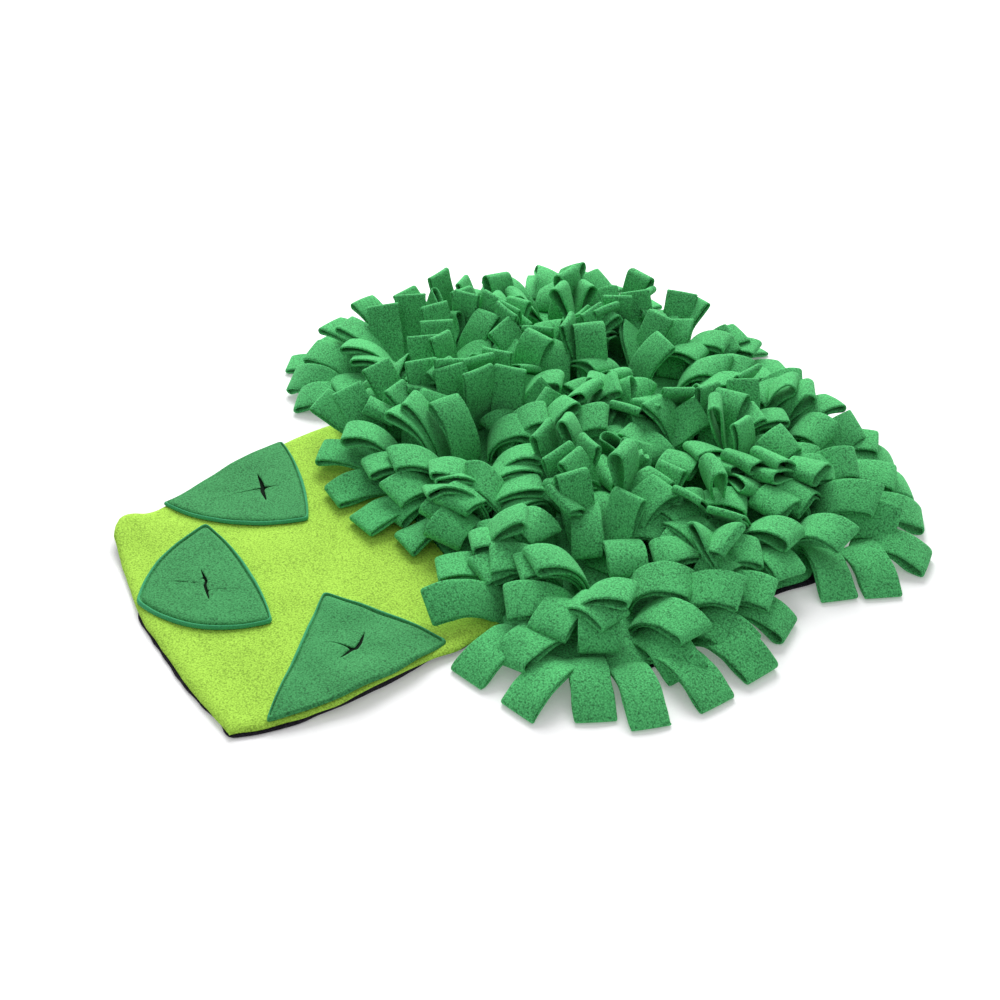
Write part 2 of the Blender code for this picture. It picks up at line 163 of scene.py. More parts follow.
class LoopSettings(bpy.types.PropertyGroup):
    strip_width: FloatProperty(name="Strip", description="Width of a cut strip", default=0.0250,
                               min=0.01, max=0.05, subtype="DISTANCE", unit="LENGTH")
    fold_length: FloatProperty(name="Loop", description="Length of a strip folded in half", default=0.0540,
                               min=0.02, max=0.10, subtype="DISTANCE", unit="LENGTH")
    settle_steps: IntProperty(name="Settling", description="Steps in which the loops settle on each other",
                              default=70, min=0, max=300)
    seed: IntProperty(name="Seed", description="Start of the loops' irregularities", default=4, min=0)


class StageSettings(bpy.types.PropertyGroup):
    surround: FloatProperty(name="Surround", description="Strength of the even white surround",
                            default=0.60, min=0.0)
    softbox: FloatProperty(name="Softbox", description="Power of the large soft light", default=106.0,
                           min=0.0, subtype="POWER", unit="POWER")


# ---------------------------------------------------------------- outlines
def crown_outline(margin):
    """The tightest outline that keeps margin outside every floret centre, counter-clockwise."""
    points = []
    for x, y in CENTRES:
        for step in range(48):
            angle = math.tau * step / 48
            points.append(Vector((x + margin * math.cos(angle), y + margin * math.sin(angle))))
    return counter_clockwise([points[index] for index in geometry.convex_hull_2d(points)])


def counter_clockwise(points):
    area = sum(a.x * b.y - b.x * a.y for a, b in zip(points, points[1:] + points[:1]))
    return points if area > 0.0 else points[::-1]


def resampled(points, spacing, closed):
    """The polyline with its points spread evenly, about spacing apart."""
    line = np.array([tuple(p)[:2] for p in points])
    if closed:
        line = np.vstack([line, line[:1]])
    along = np.concatenate([[0.0], np.cumsum(np.linalg.norm(np.diff(line, axis=0), axis=1))])
    count = max(2, round(along[-1] / spacing))
    places = np.linspace(0.0, along[-1], count + 1)
    even = np.column_stack([np.interp(places, along, line[:, axis]) for axis in (0, 1)])
    return even[:-1] if closed else even


def whole_outline():
    """The backing's outline: crown and stalk in one."""
    crown = crown_outline(CROWN_MARGIN)
    right, left = Vector(STALK_EDGE[0]), Vector(STALK_EDGE[-1])
    start = min(range(len(crown)), key=lambda index: (crown[index] - right).length)
    ring = crown[start:] + crown[:start]
    shoulder = max(right.y, left.y) + 0.001
    around = [p for p in ring if p.x > right.x or p.x < left.x or p.y > shoulder]
    return counter_clockwise(around + [Vector(p) for p in STALK_EDGE[::-1]])


def smoothed(points, rounds):
    """A closed row of points with its corners rounded a little."""
    for _ in range(rounds):
        points = 0.5 * points + 0.25 * (np.roll(points, 1, axis=0) + np.roll(points, -1, axis=0))
    return points


# ---------------------------------------------------------------- how the cloth lies
def rise(place, middle, half_length):
    """From 1 at the middle down to 0 at half_length from it."""
    share = (place - middle) / half_length
    return math.cos(share * math.pi / 2.0) ** 2 if abs(share) < 1.0 else 0.0


def lift(x, y):
    """How far the lying cloth is off the floor."""
    return sum(h * rise(x, cx, hx) * rise(y, cy, hy) for cx, cy, hx, hy, h in LIFTS)


def swell(x, y, size, seed):
    """Slow unevenness of a lying cloth, from -1 to 1."""
    return noise.noise(Vector((x / size, y / size, seed)))


def smooth_step(value):
    value = min(1.0, max(0.0, value))
    return value * value * (3.0 - 2.0 * value)


def panel_lie(x, y):
    """Top of the stalk's fleece away from its seams."""
    return PANEL_TOP + lift(x, y) + 0.0007 * swell(x, y, 0.045, 3.0) + 0.0004 * swell(x, y, 0.016, 8.0)


# ---------------------------------------------------------------- objects
def placed(name, data, place=(0.0, 0.0, 0.0)):
    """A new object in the scene, at its place."""
    made = bpy.data.objects.new(name, data)
    bpy.context.scene.collection.objects.link(made)
    made.location = place
    return made


def cloth_object(name, points, faces, materials, thick, offset, face_materials=None, levels=1):
    """A cloth piece from its points and faces, given its thickness and smoothed."""
    mesh = bpy.data.meshes.new(name)
    mesh.from_pydata([tuple(p) for p in points], [], [tuple(f) for f in faces])
    piece = placed(name, mesh)
    for material in materials:
        mesh.materials.append(material)
    if face_materials is not None:
        mesh.polygons.foreach_set("material_index", face_materials)
    mesh.shade_smooth()
    shell = piece.modifiers.new("Thickness", "SOLIDIFY")
    shell.thickness = thick
    shell.offset = offset
    if levels:
        soften = piece.modifiers.new("Soften", "SUBSURF")
        soften.levels = levels
        soften.render_levels = levels
    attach(piece, "root")
    return piece


def grid_faces(rows, columns, first=0, closed=False):
    """Quads of a grid of points; closed joins the last column to the first."""
    faces = []
    for row in range(rows - 1):
        for column in range(columns if closed else columns - 1):
            here = first + row * columns + column
            beside = first + row * columns + (column + 1) % columns
            faces.append((here, beside, beside + columns, here + columns))
    return faces


# ---------------------------------------------------------------- the loops
class Loop:
    """One folded strip: where it is sewn, how it rises and falls, and how it twists."""

    def __init__(self, foot, heading, slopes, fold):
        self.foot = foot
        self.heading = heading
        self.slope_foot, self.slope_tip = slopes
        self.fold = fold
        self.sideways = self.twist = self.roll = self.skew = self.cup = 0.0
        self.length = self.width = self.stiff = 1.0
        self.group = ""


STATIONS = 10                # places along a loop, from its foot to its fold
ACROSS = (-1.0, 0.0, 1.0)    # places across it, in thirds of its width
FOOT_OVER_PANEL = 0.0005
NAMED_STIFF = 4.0            # a named loop keeps its place this much more than another
FEET_APART = 0.0145          # least distance of a gap's loop from its neighbours' feet
CLEAR_FOOT, CLEAR_FOLD = 0.006, 0.0175     # least distances of a loop from a named one
FLORET_REACH = 0.074         # a loop sewn nearer than this to a floret's centre belongs to the floret


def room(index, direction, half_width=0.008):
    """How far a loop may reach from its floret's centre before the loops of its neighbours."""
    centre = CENTRES[index]
    across = np.array([-direction[1], direction[0]])
    reach = 1.0
    for other in range(len(CENTRES)):
        if other == index:
            continue
        between = CENTRES[other] - centre
        far = np.linalg.norm(between)
        facing = between / far
        share = facing @ direction
        if share > 0.05:
            reach = min(reach, (far / 2.0 - half_width * abs(facing @ across)) / share)
    return reach


def planned_loops(settings):
    """Every loop of the mat before it settles: the named ones, then the rings, then the gaps."""
    chance = random.Random(settings.seed)
    named = [named_loop(row, chance) for row in PLACED_LOOPS]
    tips = [rest_surface(loop, settings)[-1, 1] for loop in named]
    loops = list(named)
    for index in range(len(FLORETS)):
        for ring_row in RINGS:
            for loop in ring_loops(index, ring_row, chance, settings):
                if not_taken(loop, named, tips, settings):
                    loops.append(loop)
    for x, y in gap_feet(chance):
        if min(np.linalg.norm(loop.foot - (x, y)) for loop in loops) > FEET_APART:
            loop = Loop(np.array([x, y]), chance.uniform(0.0, math.tau), (92.0, 10.0), 0.006)
            loosen(loop, chance, False)
            if not_taken(loop, named, tips, settings):
                loops.append(loop)
    for loop in loops:
        far = np.linalg.norm(CENTRES - loop.foot, axis=1)
        nearest = int(np.argmin(far))
        loop.group = FLORETS[nearest][0] if far[nearest] < FLORET_REACH else "between"
    return loops


def named_loop(row, chance):
    """A loop from its row in the list of named ones."""
    x, y, heading, slope_foot, slope_tip, roll, width, fold, *length = row
    loop = Loop(np.array([x, y]) / 1000.0, math.radians(heading), (slope_foot, slope_tip), fold / 1000.0)
    loop.roll = math.radians(roll)
    loop.width = width
    loop.length = length[0] if length else 1.0
    loop.skew = chance.gauss(0.0, 0.05)
    loop.cup = chance.uniform(0.0, 0.0016)
    loop.stiff = NAMED_STIFF
    return loop


def ring_loops(index, ring_row, chance, settings):
    """One ring of a floret with the irregularity of hand sewing, without the part that is named."""
    floret, _, _, first = FLORETS[index]
    ring, count, radius, slope_foot, slope_tip, fold = ring_row
    lying = ring == "a"
    turn = 0.0 if lying else chance.uniform(0.0, 360.0)
    spread = 3.0 if lying else 9.0
    loops = []
    for number in range(count):
        heading = math.radians(first + turn + 360.0 * number / count + chance.uniform(-spread, spread))
        direction = np.array([math.cos(heading), math.sin(heading)])
        foot_radius = radius + chance.uniform(-0.002, 0.002)
        loop = Loop(CENTRES[index] + foot_radius * direction, heading, (slope_foot, slope_tip), fold)
        crowd(loop, room(index, direction) - foot_radius, settings.fold_length)
        loosen(loop, chance, lying)
        if not in_named_sector(floret, ring, math.degrees(heading)):
            loops.append(loop)
    return loops


def in_named_sector(floret, ring, heading):
    """True in the part of a ring whose loops all stand in the list of named ones."""
    return any(name == floret and ring in rings and (heading - start) % 360.0 < end - start
               for name, rings, start, end in NAMED_SECTORS)


def loosen(loop, chance, lying):
    """The irregularity of one loop: little where it lies in an outer ring, much where it stands."""
    loop.slope_foot += chance.uniform(-8.0, 8.0)
    loop.slope_tip += chance.uniform(-12.0, 12.0) if lying else chance.uniform(-30.0, 25.0)
    loop.sideways = math.radians(chance.gauss(0.0, 5.0 if lying else 18.0))
    loop.twist = math.radians(chance.gauss(0.0, 5.0 if lying else 26.0))
    loop.roll = math.radians(chance.gauss(0.0, 3.0 if lying else 10.0))
    loop.skew = chance.gauss(0.0, 0.08)
    loop.cup = chance.uniform(-0.0004, 0.0016)
    loop.length = chance.uniform(0.96, 1.04) if lying else chance.uniform(0.84, 1.0)
    loop.width = chance.uniform(0.94, 1.04)
    loop.fold *= chance.uniform(0.85, 1.5) if lying else chance.uniform(0.7, 1.9)


def not_taken(loop, named, tips, settings):
    """True where neither the fold nor the foot of the loop would lie on a named one."""
    tip = rest_surface(loop, settings)[-1, 1]
    if min(np.linalg.norm(tip - other) for other in tips) < CLEAR_FOLD:
        return False
    return all(np.linalg.norm(loop.foot - other.foot) > CLEAR_FOOT for other in named)


def crown_depth(x, y):
    """Distance outside the crown's outline, negative within it."""
    crown = np.array([tuple(p) for p in crown_outline(CROWN_MARGIN)])
    edges = np.roll(crown, -1, axis=0) - crown
    outward = np.column_stack([edges[:, 1], -edges[:, 0]])
    outward /= np.linalg.norm(outward, axis=1)[:, None]
    offset = np.einsum("ij,ij->i", outward, crown)
    return np.max(x[:, None] * outward[:, 0] + y[:, None] * outward[:, 1] - offset, axis=1)


def gap_feet(chance):
    """Places between the florets where a loop could be sewn."""
    pitch, stray = 0.0115, 0.003
    from_edge, from_centre = 0.014, 0.062
    places = [(column * pitch + chance.uniform(-stray, stray), row * pitch + chance.uniform(-stray, stray))
              for column in range(-24, 25) for row in range(-24, 25)]
    x, y = np.array(places).T
    far = np.linalg.norm(np.array(places)[:, None] - CENTRES[None], axis=2).min(axis=1)
    fits = (crown_depth(x, y) < -from_edge) & (far > from_centre)
    return [place for place, free in zip(places, fits) if free]


def crowd(loop, available, length):
    """Stands a loop up where it has less room than it would take lying."""
    middle = math.radians((loop.slope_foot + loop.slope_tip) / 2.0)
    wanted = length * 0.96 * math.cos(middle)      # a bent loop reaches a little less far
    if available < wanted:
        steep = math.degrees(math.acos(max(0.05, available / (length * 0.98))))
        bend = (loop.slope_foot - loop.slope_tip) / 2.0 * (0.35 + 0.65 * available / wanted)
        loop.slope_foot = min(steep + bend, 96.0)
        loop.slope_tip = steep - bend
        loop.fold *= 1.25


# The parts of the rings whose loops all stand in the list below: floret, rings, from and to in degrees.
NAMED_SECTORS = (
    ("floret_1", "ab", -135.0, -80.0), ("floret_1", "e", -180.0, 180.0),
    ("floret_2", "a", -170.0, 40.0), ("floret_2", "bcde", -180.0, 180.0),
    ("floret_3", "abcde", -180.0, 180.0),
    ("floret_4", "bcd", -170.0, -10.0), ("floret_4", "e", -180.0, 180.0),
    ("floret_5", "a", -60.0, 90.0), ("floret_5", "bcde", -180.0, 180.0),
)

PLACED_LOOPS = (
    # foot x and y in mm, heading, slope at the foot and at the fold and roll in degrees, width as a share
    # of the strip's, width of the fold in mm, and where it isn't 1 the length as a share of the loop's
    (161.6, -98.9, -79, 46, -46, 0, 1.06, 3), (198.1, -91.3, -74, 46, -46, 9, 1.02, 3),
    (200.2, -82.0, -29, 45, -46, 0, 1.01, 3), (219.8, -64.5, -22, 45, -46, 0, 0.97, 3),
    (224.0, -38.2, -1, 46, -46, 0, 1.03, 4), (221.4, -6.2, 7, 51, -46, 18, 1.02, 7),
    (208.4, 17.8, 28, 56, -46, 7, 1.01, 8), (133.6, -93.0, -109, 54, -15, -28, 1.03, 5),
    (171.5, -61.7, -118, 70, -10, -20, 1.02, 5), (171.3, -75.2, -75, 54, -28, 0, 1.06, 8),
    (199.4, -34.1, -8, 46, -28, 28, 1.08, 4), (190.4, -30.7, 8, 74, -20, 16, 1.02, 7),
    (206.1, -9.9, 13, 54, -28, 20, 1.02, 4), (196.6, -6.8, 37, 88, -12, 17, 1.03, 5),
    (196.1, 13.0, 34, 62, -12, 15, 1.02, 5), (174.6, -25.5, 41, 100, -30, 12, 1.03, 6),
    (170.1, -68.1, 43, 100, -5, -6, 1.01, 7), (173.9, -50.4, -37, 93, -50, 0, 1.02, 5),
    (163.5, -67.0, 10, 100, -25, 0, 0.96, 6), (162.0, -54.6, -65, 78, -30, 0, 1.05, 6),
    (81.2, 8.2, -33, 84, -45, 20, 0.86, 4, 1.44), (73.5, 10.8, -4, 100, -78, -14, 1.01, 7, 1.48),
    (184.3, 39.5, -113, 100, -30, 14, 1.01, 7), (136.7, 36.5, 1, 100, -45, -7, 1.02, 4, 1.30),
    (131.8, 0.9, -28, 100, -40, 0, 1.05, 5), (155.8, 48.3, -66, 100, -35, -9, 1.02, 9),
    (183.7, 26.7, 55, 100, -20, 7, 1.01, 5), (110.2, -68.0, -115, 46, -12, 3, 1.03, 4),
    (-46.2, -72.4, -138, 41, -12, -7, 1.01, 5), (-24.6, -74.6, -101, 44, -28, -22, 1.01, 5),
    (7.2, -74.4, -90, 42, -28, 0, 1.04, 4), (35.6, -61.1, -82, 40, -28, 20, 1.03, 4),
    (1.6, -54.2, -85, 71, -15, -15, 1.02, 4), (-45.4, -64.0, -129, 100, -10, 4, 1.03, 8),
    (-20.2, -55.1, -103, 78, -15, 6, 1.01, 6), (-5.2, -49.2, -112, 100, -10, -6, 1.03, 5),
    (-71.2, -66.1, -172, 60, 40, -16, 1.02, 4), (-86.8, -57.4, -143, 35, 30, -15, 1.03, 4),
    (-101.9, -9.3, 174, 140, 60, 0, 1.04, 4), (-56.1, 13.8, 178, 112, 78, 0, 1.03, 5),
    (-34.2, 24.1, 127, 73, 76, 0, 0.99, 6), (-19.6, -19.9, -179, 100, 20, 0, 1.00, 8),
    (-35.8, -28.9, -154, 84, 35, 11, 1.01, 6), (-35.8, -37.3, -145, 97, 15, 16, 1.03, 7),
    (16.7, -23.2, 62, 100, -5, -9, 1.01, 5, 0.93), (22.4, -34.1, 62, 100, -25, -10, 1.02, 5),
    (39.1, -50.6, 58, 76, -5, -8, 1.01, 6), (70.8, -49.0, 8, 100, -25, 12, 1.03, 4),
    (35.7, -49.7, -74, 100, -30, -12, 1.03, 8), (38.3, -55.3, -58, 72, -25, -24, 1.08, 8),
    (105.4, -42.9, -115, 70, -10, 10, 1.03, 7), (26.1, -35.1, -116, 100, -10, -7, 1.01, 6),
    (99.4, -26.8, -118, 49, -15, -11, 1.03, 5), (-12.2, 4.6, 68, 100, 0, 17, 1.01, 6),
    (-156.0, -48.4, -156, 48, -28, -27, 1.03, 6), (-176.3, -17.8, -152, 46, -8, -13, 1.03, 6),
    (-184.3, 13.4, -151, 63, 10, 3, 1.03, 5), (-203.9, 12.2, -157, 42, 0, -3, 1.02, 5),
    (-207.5, 34.7, -169, 51, 20, 0, 0.98, 5), (-180.2, 9.3, 156, 42, 50, -4, 1.08, 4),
    (-194.9, 70.0, -164, 41, 40, -2, 1.03, 4), (-165.2, 5.0, -132, 89, -8, 13, 1.01, 5),
    (-146.7, 8.4, -130, 74, -8, 16, 1.04, 5), (-141.9, -39.6, -131, 40, -28, -9, 1.02, 6),
    (-181.9, 38.0, 157, 40, 60, -4, 1.08, 4), (-90.2, -28.4, -168, 61, 45, -7, 1.03, 4),
    (-57.6, -21.9, -156, 52, 40, 5, 1.02, 4), (-109.4, 6.5, 162, 77, 55, -14, 1.03, 4),
    (-127.9, 23.0, -167, 134, 65, 10, 1.02, 4), (-149.7, 50.9, 173, 58, 55, 0, 0.97, 5),
    (-125.1, 26.9, 157, 77, 55, -9, 1.08, 6), (-201.0, 92.7, -164, 56, 75, 3, 1.01, 4),
    (-180.0, 112.8, -156, 48, 65, 16, 1.01, 4), (-161.2, 90.2, -176, 61, 60, 15, 1.02, 4),
    (-190.1, 123.3, 180, 140, 60, 9, 1.03, 10), (-140.7, 119.5, -150, 87, 40, 20, 1.00, 8),
    (-134.8, 90.6, 110, 72, 50, -16, 1.02, 6), (-138.0, 57.5, 100, 92, 30, 0, 1.04, 6),
    (-92.9, 88.3, -157, 87, 40, -17, 1.03, 4), (-135.5, 180.3, -175, 56, 75, 12, 1.02, 9),
    (-118.7, 171.2, -155, 61, 60, 18, 1.01, 9), (-77.1, 81.8, 97, 131, 45, 8, 1.03, 10),
    (-63.8, 28.1, 124, 60, 70, -7, 1.01, 5), (-0.4, 221.2, 31, 44, -28, 8, 1.02, 5),
    (1.0, 200.4, 61, 36, -8, -7, 1.02, 5), (-55.9, 244.4, 26, 46, -8, 0, 0.98, 5),
    (-38.4, 218.1, 80, 42, 5, 17, 1.02, 5), (-46.0, 217.0, 28, 100, -10, 5, 1.01, 5),
    (-60.6, 217.6, 126, 64, 50, 10, 1.04, 4), (-67.5, 216.0, 86, 54, 45, -11, 1.03, 4),
    (-51.1, 169.3, 97, 66, 55, 3, 1.02, 4), (-104.3, 191.5, 141, 138, 76, 0, 0.98, 5),
    (-27.1, 149.8, 82, 100, 30, 8, 1.02, 4), (-49.0, 192.4, 22, 100, -20, 0, 0.98, 6),
    (-9.4, 180.8, 33, 100, -12, 7, 1.04, 7), (-1.2, 198.5, 25, 100, -10, 22, 1.01, 5),
    (13.2, 173.6, 32, 100, -12, 0, 1.02, 7), (82.8, 132.4, 111, 100, 25, 0, 1.05, 10),
    (35.8, 177.0, 35, 96, -12, 0, 0.98, 7), (-16.1, 106.5, 31, 100, -12, 17, 1.02, 7),
    (13.9, 135.7, 18, 100, -10, -7, 1.01, 6), (-50.8, 124.9, 155, 100, 30, -11, 1.02, 12),
    (-78.4, 125.8, 4, 100, -20, -8, 1.03, 8), (-116.7, 205.4, 90, 60, 70, 3, 1.03, 9),
    (-139.2, 153.1, 89, 46, 60, -20, 1.01, 9), (-5.5, 119.2, 6, 100, -20, -10, 1.02, 8),
    (39.8, 81.1, 4, 100, -28, 15, 1.02, 7), (59.4, 166.8, -96, 100, -60, 15, 1.03, 9),
    (29.4, 148.0, 8, 100, -55, -19, 1.03, 8), (-19.7, 67.6, 22, 100, 30, 0, 1.08, 8),
    (-55.6, 51.8, 40, 100, 10, 0, 0.97, 9), (12.1, 41.0, 50, 100, 10, 17, 1.03, 9),
    (-15.8, 30.8, 22, 100, -50, -19, 1.03, 6), (100.6, 32.4, -169, 108, 70, 18, 1.02, 12),
    (129.1, 9.5, 93, 100, 5, 0, 0.98, 9), (116.5, 18.0, 92, 100, 10, 0, 1.05, 5),
    (204.1, 116.7, -28, 46, -46, -11, 1.02, 3), (216.7, 138.8, -23, 46, -46, 11, 1.03, 3),
    (210.5, 145.5, 25, 51, -46, 6, 1.03, 8), (190.5, 163.2, 51, 54, -46, 17, 1.03, 8),
    (167.2, 182.4, 60, 56, -46, 11, 1.02, 7), (132.4, 203.4, 57, 54, -46, 6, 1.01, 6),
    (188.3, 135.1, 37, 48, -10, 44, 1.08, 4), (175.8, 140.5, 33, 88, -12, 32, 1.02, 7),
    (150.4, 177.8, 38, 56, -12, 10, 1.03, 6), (111.6, 200.7, 46, 44, -10, 18, 1.02, 5),
    (130.4, 186.2, 89, 62, -8, 40, 1.03, 5), (96.7, 199.3, 74, 100, -5, -8, 1.02, 5),
    (99.0, 195.3, 1, 100, -12, 24, 1.02, 6), (122.3, 141.7, 42, 100, -15, 12, 1.03, 6),
    (143.0, 137.9, 48, 100, -15, 10, 1.03, 5), (153.9, 151.5, 61, 100, -12, 27, 1.02, 5),
    (153.1, 171.7, -74, 100, -5, 12, 1.02, 10), (145.5, 147.6, -80, 100, 0, 18, 1.01, 9),
    (122.7, 112.1, -17, 100, -10, -19, 1.02, 8), (165.1, 151.2, -79, 100, -20, -10, 1.02, 9),
    (168.4, 134.0, -84, 100, -20, 0, 1.07, 8), (191.8, 106.1, 14, 98, -18, 14, 1.01, 4),
    (172.3, 74.0, 16, 100, -15, -3, 1.01, 10), (182.4, 73.3, -8, 78, -25, -6, 1.02, 4),
    (103.8, 134.0, 43, 100, -12, 0, 1.05, 5), (88.1, 134.2, 75, 100, 20, 2, 1.03, 4),
    (80.0, 157.2, 55, 100, -5, -9, 1.03, 5), (105.9, 130.5, -176, 140, 60, 19, 1.03, 5),
    (128.9, 127.9, 86, 100, 10, 24, 1.02, 5), (129.9, 61.7, 38, 100, -20, -5, 1.02, 9),
    (129.6, 136.1, -82, 100, 10, 0, 1.05, 8), (32.8, -36.8, -115, 100, -10, 21, 1.02, 5),
    (43.8, -51.6, -112, 100, -10, 21, 1.00, 5), (36.2, -42.0, -72, 100, -20, -18, 1.02, 6),
    (3.5, -53.7, -82, 45, -20, 0, 1.06, 7), (61.3, -11.1, -85, 100, -60, 21, 1.02, 5),
    (-21.7, 1.1, 42, 100, -10, 14, 1.02, 7), (130.0, -45.5, -116, 70, -10, -7, 1.01, 4),
    (143.9, -40.3, -108, 84, -10, 2, 1.01, 4), (117.7, -48.4, -99, 60, -15, -8, 1.02, 6),
    (146.7, -39.7, -107, 100, 0, 0, 1.01, 7), (65.2, -0.5, 95, 53, 60, -17, 1.01, 5),
    (37.6, 30.5, -161, 136, 50, 25, 1.01, 8), (2.6, 26.9, 81, 100, 20, -19, 1.03, 8),
    (100.6, 140.4, -157, 56, 75, 23, 1.01, 9), (86.9, 108.4, -64, 100, -15, 0, 1.06, 8),
    (124.7, 25.3, 103, 36, 60, -14, 1.02, 5), (122.8, 8.1, 39, 100, -60, 15, 1.03, 6, 1.22),
    (119.8, 41.5, 5, 100, -20, -4, 1.03, 4), (153.3, 98.2, -123, 34, 85, 10, 1.03, 11),
    (109.0, 128.4, -105, 100, 0, 11, 1.03, 6), (142.7, 43.3, 26, 100, -40, -14, 1.01, 5),
    (117.8, -11.3, 174, 56, 65, 0, 0.99, 6), (135.0, -21.2, 108, 32, 55, -9, 1.02, 7),
    (109.3, 43.5, -15, 100, -50, -10, 1.01, 9), (117.9, 127.6, -76, 100, 0, 0, 1.00, 6),
    (146.1, 152.2, -89, 100, 10, 0, 1.07, 8), (127.5, 30.7, 64, 100, -20, 6, 1.02, 5),
    (52.8, 29.5, -139, 40, 75, -16, 1.03, 6), (84.8, 23.0, -146, 32, 70, -36, 1.02, 6),
    (99.5, 19.4, -161, 67, 40, 3, 1.00, 6),
)


def rest_surface(loop, settings):
    """The middle surface of a loop, between its plies: stations along it, three points across."""
    surface = np.zeros((STATIONS, 3, 3))
    place = np.array([loop.foot[0], loop.foot[1], PANEL_TOP + FOOT_OVER_PANEL])
    run = settings.fold_length * loop.length / (STATIONS - 1)
    third = settings.strip_width * loop.width / 3.0
    for station in range(STATIONS):
        share = station / (STATIONS - 1)
        slope = math.radians(loop.slope_foot + (loop.slope_tip - loop.slope_foot) * share)
        heading = loop.heading + loop.sideways * share
        along = np.array([math.cos(slope) * math.cos(heading), math.cos(slope) * math.sin(heading),
                          math.sin(slope)])
        level = np.array([-math.sin(heading), math.cos(heading), 0.0])
        up = np.cross(along, level)
        turned = loop.roll + loop.twist * share
        across = math.cos(turned) * level + math.sin(turned) * up
        if station:
            place = place + along * run
        for column, side in enumerate(ACROSS):
            surface[station, column] = place + across * side * third
    return surface


PLIES_CLOSED = 0.0023        # distance between the middles of two plies that touch
LEAST_FOLD = 0.0026          # the same at the flattest fold
OPENS_FROM = 0.35            # share of the loop from which its plies part
PLY_HALF = 0.0011            # half the thickness of one ply
LEAST_RADIUS = 0.0026        # least half thickness with which a loop pushes others away
HELD = 2                     # stations at the foot that the seam holds
SAG = 0.00010                # how far the cloth sinks in a step
SPRING = 0.035               # share of the way back to its own place that it goes in a step
STIFFEN = 0.35               # share of a bend that it takes back in a step
LOOK_EVERY, NEAR = 7, 0.0105     # steps between looks for touching pairs, and how near these are
PUSH = 0.8                   # share of an overlap that is pushed away in a step


def ply_gap(loop, share):
    """Distance between the middles of the two plies: closed at the foot, open at the fold."""
    open_part = smooth_step((share - OPENS_FROM) / (1.0 - OPENS_FROM))
    return PLIES_CLOSED + (max(loop.fold, LEAST_FOLD) - PLIES_CLOSED) * open_part


def settle(rest, loops, settings):
    """Lets the loops push each other apart and rest on what lies below, keeping their lengths."""
    now = rest.copy()
    count = len(loops)
    radii = np.zeros((count, STATIONS, 3))
    for index, loop in enumerate(loops):
        for station in range(STATIONS):
            half = ply_gap(loop, station / (STATIONS - 1)) / 2.0 + PLY_HALF
            radii[index, station] = max(LEAST_RADIUS, half)
    flat_radii = radii.reshape(-1)
    owner = np.repeat(np.arange(count), STATIONS * 3)
    station_of = np.tile(np.repeat(np.arange(STATIONS), 3), count)
    free = station_of >= HELD
    runs = np.linalg.norm(np.diff(rest, axis=1), axis=3, keepdims=True)
    widths = np.linalg.norm(rest[:, :, 2] - rest[:, :, 0], axis=2, keepdims=True)
    curl = rest[:, 1:-1] - 0.5 * (rest[:, :-2] + rest[:, 2:])
    pull = np.array([loop.stiff for loop in loops]).reshape(-1, 1, 1, 1)
    yielding = np.repeat(1.0 / pull.reshape(-1), STATIONS * 3)
    for step in range(settings.settle_steps):
        now[:, HELD:, :, 2] -= SAG
        now += SPRING * pull * (rest - now)
        flat = now.reshape(-1, 3)
        if step % LOOK_EVERY == 0:
            first, second = touching(flat, owner, free)
        push_apart(flat, flat_radii, yielding, first, second)
        keep_off_ground(flat, flat_radii, free)
        now = flat.reshape(now.shape)
        bent = 0.5 * (now[:, :-2] + now[:, 2:]) + curl - now[:, 1:-1]
        now[:, 1:-1] += STIFFEN * bent
        for _ in range(2):
            keep_lengths(now, runs, widths)
        now[:, :1] = rest[:, :1]
    return now


def touching(flat, owner, free):
    """Pairs of points on different loops that are near enough to touch soon."""
    tree = KDTree(len(flat))
    for index in np.nonzero(free)[0]:
        tree.insert(flat[index], int(index))
    tree.balance()
    first, second = [], []
    for index in np.nonzero(free)[0]:
        for _, other, _ in tree.find_range(flat[index], NEAR):
            if other > index and owner[other] != owner[index]:
                first.append(index)
                second.append(other)
    return np.array(first), np.array(second)


def push_apart(flat, radii, yielding, first, second):
    """Moves touching points apart, the softer loop further, and each less where many touch it."""
    between = flat[second] - flat[first]
    far = np.linalg.norm(between, axis=1)
    wanted = radii[first] + radii[second]
    close = far < wanted
    if not close.any():
        return
    a, b = first[close], second[close]
    shift = between[close] / np.maximum(far[close], 1e-6)[:, None] * ((wanted - far)[close] * PUSH)[:, None]
    share = (yielding[b] / (yielding[a] + yielding[b]))[:, None]
    crowding = np.maximum(1.0, np.bincount(np.concatenate([a, b]), minlength=len(flat)) * 0.5)
    for axis in range(3):
        moved = (np.bincount(b, (shift * share)[:, axis], len(flat))
                 - np.bincount(a, (shift * (1.0 - share))[:, axis], len(flat)))
        flat[:, axis] += moved / crowding


STALK_OVER_CROWN = 0.0022    # how much higher the stalk's fleece is taken to lie than the crown's
PANEL_SLOPE = 0.006          # distance from the panels' edge at which the cloth meets the floor


def ground(x, y):
    """Height of what the loops lie on: the floor, or the panels."""
    depth = crown_depth(x, y)
    edge = np.array(STALK_EDGE)
    right = np.interp(y, edge[:RIGHT_CORNER + 1][::-1, 1], edge[:RIGHT_CORNER + 1][::-1, 0])
    left = np.interp(y, edge[LEFT_CORNER:, 1], edge[LEFT_CORNER:, 0])
    off_stalk = np.maximum(x - right, left - x)
    off_stalk = np.where(y > 0.0, 1.0, off_stalk)
    out = np.minimum(depth, off_stalk)
    top = PANEL_TOP + np.where(off_stalk < 0.0, STALK_OVER_CROWN, 0.0)
    return np.clip(1.0 - out / PANEL_SLOPE, 0.0, 1.0) * top


